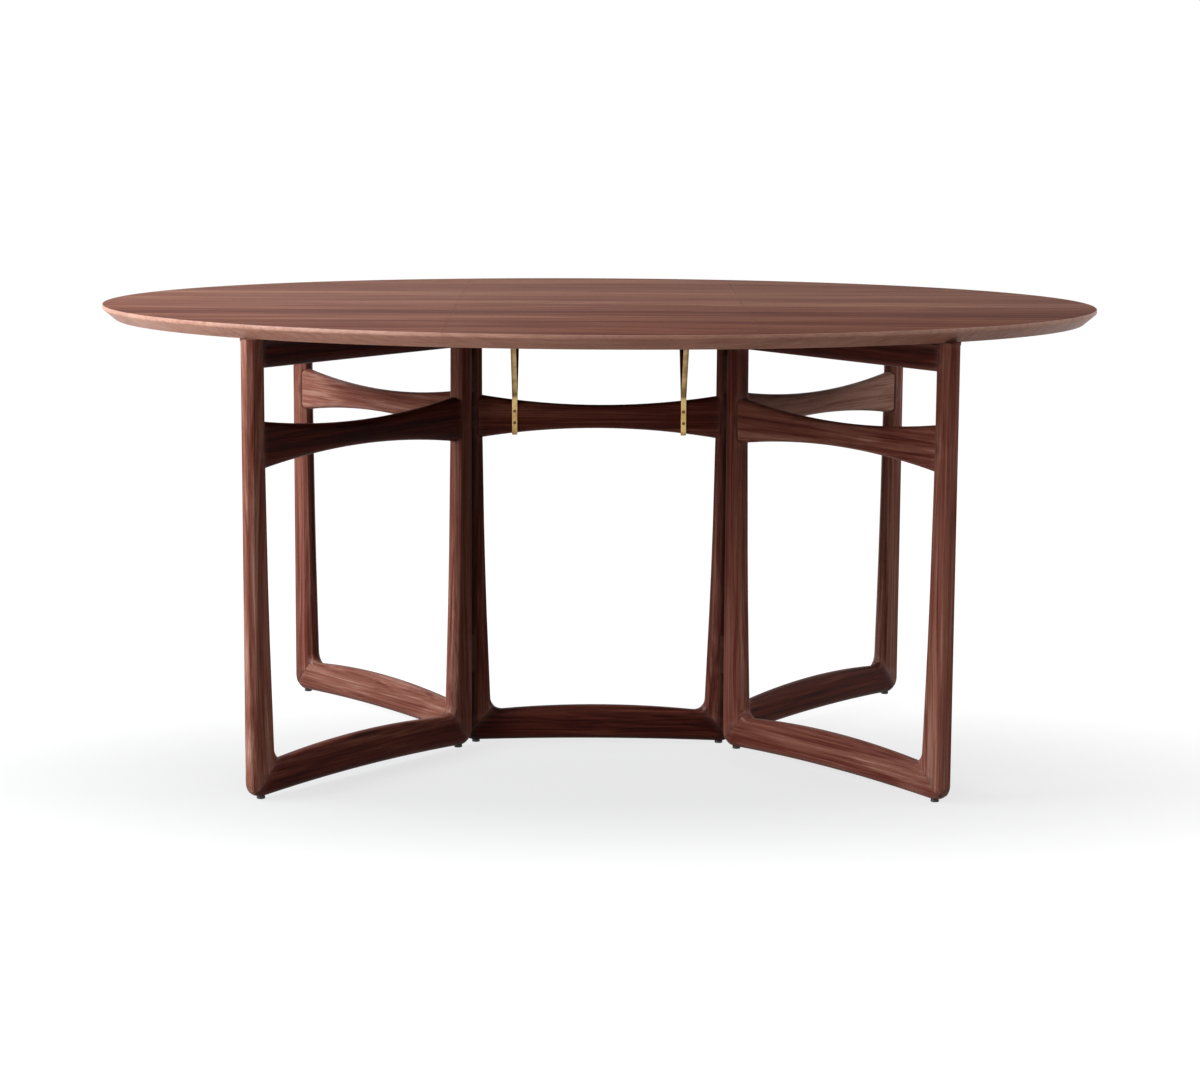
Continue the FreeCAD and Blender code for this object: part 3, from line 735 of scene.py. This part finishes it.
def screw_pattern(radius, height):
    """A screw head with an eased rim and a slot. It stands on zero and looks up."""
    head = turned_blank("screw_pattern", SCREW_SIDES, radius, height)
    select_edges(head, lambda edge, bend: min(v.co.z for v in edge.verts) > height * NEAR_TOP)
    bpy.ops.mesh.bevel(offset=height * SCREW_EASE, segments=4, profile=0.5)
    half_width = radius * SLOT_HALF_WIDTH
    half_length = radius * SLOT_HALF_LENGTH
    for reach, normal in ((half_length, (1, 0, 0)), (half_width, (0, 1, 0))):
        for sign in (-1, 1):
            cut_across(Vector(normal) * reach * sign, normal)

    def in_slot(face):
        middle = face.calc_center_median()
        flat = face.normal.z > FACING_UP
        return flat and abs(middle.x) < half_length and abs(middle.y) < half_width

    select_faces(head, in_slot)
    sink = {"value": (0, 0, -height * SLOT_DEPTH)}
    bpy.ops.mesh.extrude_region_move(TRANSFORM_OT_translate=sink)
    out_of_edit(head, SMALL_SMOOTH)
    return head


small_screw = screw_pattern(radius=0.0021, height=0.0007)
brace_screw = screw_pattern(radius=0.0026, height=0.0010)
board_screw = screw_pattern(radius=0.0034, height=0.0011)
fixing_screw = screw_pattern(radius=0.0048, height=0.0018)


def screws(pattern, name, seats, material, body, slot):
    """Screws at seats, each a place and the direction that the head looks."""
    matrices = [
        looking(place, direction, SLOT_TURNS[index % len(SLOT_TURNS)])
        for index, (place, direction) in enumerate(seats)
    ]
    dress(copies(pattern, name, matrices), material, body, slot)


# Fittings whose sharp edges are eased

STRAP_EASE = 0.00045
PLATE_EASE = 0.0003
STOP_EASE = 0.0015
FITTING_SMOOTH = 30


def softened(node_name, name, width, material, body, slot):
    """A copy of a CAD node with its sharp edges eased."""
    piece = merged_copy(node_name, name)
    rounded(piece, width, on_corner, 2, FITTING_SMOOTH)
    dress(piece, material, body, slot, node_name)


# Braces

BRACE_X = 0.137
BRACE_FACE = 0.01365
BRACE_SCREW_LEVELS = (0.5315, 0.5505)
BRACE_FOOT_LEVEL = 0.6995
BRACE_FOOT_SCREW = 0.186

for side_name, side in SIDES.items():
    brace = f"brace_{side_name}"
    softened(brace, brace + "_strap", STRAP_EASE, BRASS, "centre", "brass")
    x = side * BRACE_X
    seats = [
        ((x, end * BRACE_FACE, level), (0, end, 0))
        for end in ENDS.values()
        for level in BRACE_SCREW_LEVELS
    ]
    seats += [((x, end * BRACE_FOOT_SCREW, BRACE_FOOT_LEVEL), DOWN) for end in ENDS.values()]
    screws(brace_screw, brace + "_screws", seats, OLD_BRASS, "centre", "brass")

# Screws that hold the centre frame's top rail to the board

FIXING_X = 0.070
TOP_RAIL_FOOT = 0.662
seats = [((side * FIXING_X, 0, TOP_RAIL_FOOT), DOWN) for side in SIDES.values()]
screws(fixing_screw, "top_fixing_screws", seats, BRASS, "centre", "brass")

# Gate hinges: a plate on the centre leg, and one on the nose of the gate's inner leg

PIVOT_X = 0.217
PIVOT_Y = 0.016
HINGE_LEVELS = (0.150, 0.612)
HINGE_SCREW_STEP = 0.018
HINGE_SCREW_REACH = 0.0095
FIXED_FACE = 0.0135
SWING_FACE = 0.0018
SCREW_LEVELS = [level + sign * HINGE_SCREW_STEP for level in HINGE_LEVELS for sign in (-1, 1)]

for side_name, side in SIDES.items():
    plates = f"gate_hinge_fixed_plates_{side_name}"
    softened(plates, plates + "_eased", PLATE_EASE, STEEL, "centre", "blackened_steel")
    x = side * (PIVOT_X - HINGE_SCREW_REACH)
    seats = [
        ((x, end * FIXED_FACE, level), (0, end, 0))
        for end in ENDS.values()
        for level in SCREW_LEVELS
    ]
    name = f"gate_hinge_fixed_screws_{side_name}"
    screws(small_screw, name, seats, STEEL, "centre", "blackened_steel")
for gate, (side, end) in GATES.items():
    plates = gate + "_hinge_plates"
    softened(plates, plates + "_eased", PLATE_EASE, STEEL, gate, "blackened_steel")
    heading = Matrix.Rotation(math.radians(GATE_TURN[gate]), 4, "Z")
    pivot = Vector((side * PIVOT_X, end * PIVOT_Y, 0))
    outward = heading @ Vector((-1, 0, 0))
    on_plate = pivot + heading @ Vector((SWING_FACE, side * end * HINGE_SCREW_REACH, 0))
    seats = [(on_plate + Vector((0, 0, level)), outward) for level in SCREW_LEVELS]
    screws(small_screw, gate + "_hinge_screws", seats, STEEL, gate, "blackened_steel")

# Leaf hinges, let into the underside of the boards, and the stops under the leaves

UNDERSIDE = 0.702
LEAF_HINGE_Y = 0.330
LEAF_SCREW_X = 0.0192
LEAF_SCREW_STEP = 0.0235


def leaf_screw_seats(side, across):
    """The seats at both hinges of one seam, on the side of it that across gives."""
    x = side * SEAM_X + across * LEAF_SCREW_X
    return [
        ((x, end * LEAF_HINGE_Y + step * LEAF_SCREW_STEP, UNDERSIDE), DOWN)
        for end in ENDS.values()
        for step in (-1, 0, 1)
    ]


plates = "leaf_hinge_fixed_plates"
softened(plates, plates + "_eased", PLATE_EASE, BRASS, "centre", "brass")
seats = [seat for side in SIDES.values() for seat in leaf_screw_seats(side, -side)]
screws(board_screw, "leaf_hinge_fixed_screws", seats, BRASS, "centre", "brass")
for side_name, side in SIDES.items():
    body = BODY_OF_LEAF[side_name]
    leaf = f"leaf_{side_name}"
    plates = leaf + "_hinge_plates"
    softened(plates, plates + "_eased", PLATE_EASE, BRASS, body, "brass")
    seats = leaf_screw_seats(side, side)
    screws(board_screw, leaf + "_hinge_screws", seats, BRASS, body, "brass")
    softened(leaf + "_stops", leaf + "_stop_blocks", STOP_EASE, WOOD_ALONG_X, body, "walnut")

# Glides: turned nylon buttons under every foot

GLIDE_SIDES = 36
GLIDE_RADIUS = 0.0068
GLIDE_HEIGHT = 0.004
GLIDE_NECK = 0.9
GLIDE_EASE = 0.3
GATE_FEET = ((0.2280, 0.0430), (0.5135, 0.4082))
GLIDE_FEET = {"centre": [(-0.2005, 0), (0.2005, 0)]}
for gate, (side, end) in GATES.items():
    GLIDE_FEET[gate] = [(side * x, end * y) for x, y in GATE_FEET]


def glide_pattern():
    """A round button, wider below its neck, with an eased foot."""
    button = turned_blank("glide_pattern", GLIDE_SIDES, GLIDE_RADIUS, GLIDE_HEIGHT)
    foot = GLIDE_HEIGHT * NEAR_FOOT
    select_faces(button, lambda face: face.normal.z > FACING_UP)
    bpy.ops.transform.resize(value=(GLIDE_NECK, GLIDE_NECK, 1))
    select_edges(button, lambda edge, bend: max(v.co.z for v in edge.verts) < foot)
    bpy.ops.mesh.bevel(offset=GLIDE_HEIGHT * GLIDE_EASE, segments=4, profile=0.5)
    out_of_edit(button, SMALL_SMOOTH)
    return button


button = glide_pattern()
for body, feet in GLIDE_FEET.items():
    piece = copies(button, body + "_buttons", [Matrix.Translation((x, y, 0)) for x, y in feet])
    dress(piece, GLIDE, body, "glide", body + "_glides")

for pattern in (small_screw, brace_screw, board_screw, fixing_screw, button):
    bpy.data.objects.remove(pattern)

# The floor: white to the eye, with the table's own shadow on it, deepened by a painted shadow near
# the table

FLOOR_SIZE = 60.0
FLOOR_LEVEL = -0.0005
FLOOR_PAINT = (0.08, 0.08, 0.08, 1)

# What the floor throws back as light, dimmer under the table than all round it, as painted shade
BOUNCE_UNDER = (0.08, 0.060, 0.052, 1)
BOUNCE_ROUND = (0.40, 0.29, 0.26, 1)
BOUNCE_CHANGE = (0.6, 1.3)
TABLE_REACH = (0.80, 0.58, 1)

# The painted shadow near the table, which keeps the floor there a little below white
GLOW_IN_PAINTED_SHADOW = 0.712
GLOW_FAR = 1.0
PAINTED_SHADOW_MIDDLE = (-0.02, -0.27, 0)
PAINTED_SHADOW_REACH = (0.95, 0.46, 1)
PAINTED_SHADOW_CHANGE = (0.25, 1.75)


def floor_finish():
    """Matt white paper. What the eye sees is lifted to white, a little less near the table, which
    paints a shadow there.
    """
    paper = Finish("floor")
    seen = paper.seen_directly()
    place = paper.object_place()
    from_table = paper.vector("LENGTH", paper.vector("DIVIDE", place, TABLE_REACH), out="Value")
    bounce = paper.mixed(from_table.between(*BOUNCE_CHANGE), BOUNCE_UNDER, BOUNCE_ROUND)
    shown = paper.mixed(seen, bounce, FLOOR_PAINT)
    spread = paper.vector("DIVIDE", paper.vector("SUBTRACT", place, PAINTED_SHADOW_MIDDLE), PAINTED_SHADOW_REACH)
    away = paper.vector("LENGTH", spread, out="Value")
    # Painted shadow: the glow dips near the table
    level = GLOW_IN_PAINTED_SHADOW + away.between(*PAINTED_SHADOW_CHANGE) * (GLOW_FAR - GLOW_IN_PAINTED_SHADOW)
    paint = paper.node("ShaderNodeBsdfDiffuse", {}, {"Color": shown})
    glow = paper.node("ShaderNodeEmission", {}, {"Color": seen * level, "Strength": 1.0})
    return paper.end(paper.node("ShaderNodeAddShader", {}, {0: paint, 1: glow}))


bpy.ops.mesh.primitive_plane_add(size=FLOOR_SIZE, location=(0, 0, FLOOR_LEVEL))
floor = bpy.context.object
floor.name = "floor"
floor.data.materials.append(floor_finish())
floor.select_set(False)

# Light: a dim pale room all round, a window from the left, and weaker lamps that fill the rest

HORIZON_LEVEL = 0.03
CEILING_LEVEL = 0.12
CEILING_RISE = (0.05, 0.85)
WHITE = (1, 1, 1, 1)


def pale_room():
    """Dim walls and a pale ceiling as light; plain white to the eye and in reflections."""
    world = bpy.data.worlds.new("pale_room")
    world.use_nodes = True
    world.node_tree.nodes.clear()
    room = Finish("pale_room", world.node_tree, "ShaderNodeOutputWorld")
    height = room.parts(room.node("ShaderNodeTexCoord", out="Generated"))[2]
    level = HORIZON_LEVEL + height.between(*CEILING_RISE) * (CEILING_LEVEL - HORIZON_LEVEL)
    direct = room.seen_directly()
    strength = level * (1 - direct) + direct
    room.end(room.node("ShaderNodeBackground", {}, {"Color": WHITE, "Strength": strength}))
    bpy.context.scene.world = world


def soft_lamp(name, place, aim, size, watts, colour):
    light = bpy.data.lights.new(name, "AREA")
    light.color = colour
    light.shape = "RECTANGLE"
    light.size, light.size_y = size
    light.energy = watts
    lamp = bpy.data.objects.new(name, light)
    bpy.context.collection.objects.link(lamp)
    lamp.location = place
    lamp.rotation_euler = (Vector(aim) - Vector(place)).to_track_quat("-Z", "Y").to_euler()


# Each lamp's place, the point that it faces, its width and height, its watts and its colour
DAYLIGHT = (0.96, 1.0, 1.07)
PLAIN = (1, 1, 1)
LAMPS = {
    "left_window": ((-3.3, -0.85, 2.1), (-0.1, 0, 0.45), (2.6, 1.2), 222, DAYLIGHT),
    "left_card": ((-2.9, -2.3, 1.2), (-0.1, 0, 0.45), (2.0, 1.2), 58, PLAIN),
    "right_window": ((3.4, -0.5, 2.1), (0.1, 0, 0.45), (2.0, 1.2), 52, PLAIN),
    "front_panel": ((0.2, -2.6, 2.7), (0, -0.1, 0.5), (2.2, 1.6), 21, PLAIN),
    "rear_window": ((-1.2, 2.4, 2.3), (0, 0.2, 0.7), (2.4, 1.0), 20, PLAIN),
}
pale_room()
for name, (place, aim, size, watts, colour) in LAMPS.items():
    soft_lamp(name, place, aim, size, watts, colour)

# The camera, at the photograph's height and angle. Yaw, pitch and roll are in radians

EYE = Vector((-0.02108, -5.0538, 1.1201))
LENS = 93.73
SENSOR_WIDTH = 36
VIEW_END = 100
YAW = 0.00469
PITCH = 0.15361
ROLL = 0.00583

reach = math.cos(PITCH)
forward = Vector((math.sin(YAW) * reach, math.cos(YAW) * reach, -math.sin(PITCH)))
level_right = Vector((math.cos(YAW), -math.sin(YAW), 0))
level_up = level_right.cross(forward)
right = level_right * math.cos(ROLL) + level_up * math.sin(ROLL)
up = level_up * math.cos(ROLL) - level_right * math.sin(ROLL)
camera_data = bpy.data.cameras.new("camera")
camera_data.lens = LENS
camera_data.sensor_width = SENSOR_WIDTH
camera_data.clip_end = VIEW_END
camera = bpy.data.objects.new("camera", camera_data)
bpy.context.collection.objects.link(camera)
facing = Matrix((right, up, -forward)).transposed().to_4x4()
camera.matrix_world = Matrix.Translation(EYE) @ facing
bpy.context.scene.camera = camera
bpy.context.scene.view_settings.view_transform = "Standard"
